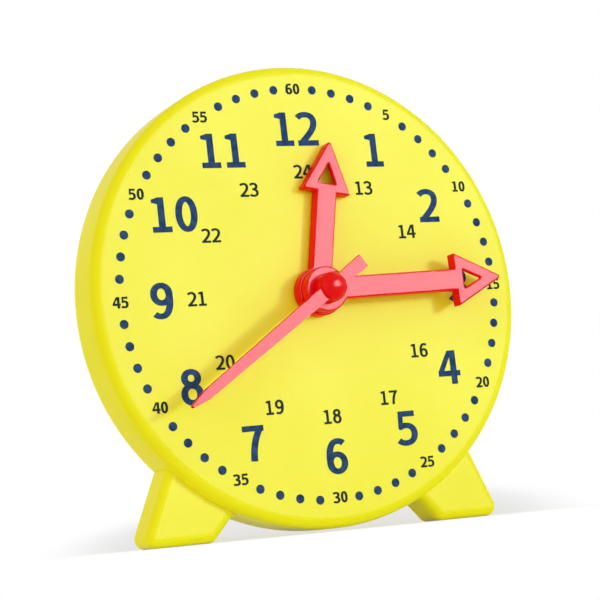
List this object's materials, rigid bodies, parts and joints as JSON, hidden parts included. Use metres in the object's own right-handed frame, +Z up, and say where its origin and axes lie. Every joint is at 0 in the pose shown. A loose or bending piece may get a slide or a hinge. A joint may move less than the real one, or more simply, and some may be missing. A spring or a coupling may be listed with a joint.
{
  "type": "geared teaching clock",
  "caption": "Free-standing teaching clock: a rear knob turns the minute hand, gears behind the dial carry the hour hand round with it, and the second hand is set by finger.",
  "frame": {"origin": "bottom centre of the bounding box, on the surface the feet stand on and straight below the axis of the hands", "axes": "+Z up, +X to the right of someone reading the dial, +Y from the dial towards the back"},
  "size_m": [0.1, 0.0332, 0.1006],
  "materials": {
    "yellow_case": "moulded, smooth",
    "red_moulding": "moulded, polished",
    "white_gear": "moulded, smooth",
    "brass_tube": "drawn",
    "steel": "zinc plated",
    "black_rubber": "matt"
  },
  "bodies": {
    "case": {"front_case": "yellow_case", "back_cover": "yellow_case", "cover_screw_1": "steel", "cover_screw_2": "steel", "cover_screw_3": "steel", "cover_screw_4": "steel", "intermediate_axle": "steel", "axle_clip": "steel"},
    "minute": {"minute_arbor": "brass_tube", "minute_pinion": "white_gear", "minute_hand": "red_moulding", "setting_knob": "red_moulding", "knob_screw": "steel", "friction_washer": "black_rubber"},
    "hour": {"hour_wheel": "white_gear", "hour_hand": "red_moulding", "hour_washer": "steel"},
    "intermediate": {"intermediate_wheel": "white_gear"},
    "second": {"second_hand": "red_moulding", "second_hand_pin": "steel"}
  },
  "joints": [
    {"name": "minute_turn", "type": "hinge", "parent": "case", "child": "minute", "pos_m": [0, 0, 0.05055], "axis": [0, 1, 0], "continuous": true},
    {"name": "hour_turn", "type": "hinge", "parent": "case", "child": "hour", "pos_m": [0, 0, 0.05055], "axis": [0, 1, 0], "continuous": true},
    {"name": "intermediate_turn", "type": "hinge", "parent": "case", "child": "intermediate", "pos_m": [0, 0, 0.06855], "axis": [0, 1, 0], "continuous": true},
    {"name": "second_turn", "type": "hinge", "parent": "minute", "child": "second", "pos_m": [0, 0, 0.05055], "axis": [0, 1, 0], "continuous": true}
  ],
  "couplings": [
    {"joint": "hour_turn", "follows": "minute_turn", "ratio": 0.083333},
    {"joint": "intermediate_turn", "follows": "minute_turn", "ratio": -0.33333}
  ]
}
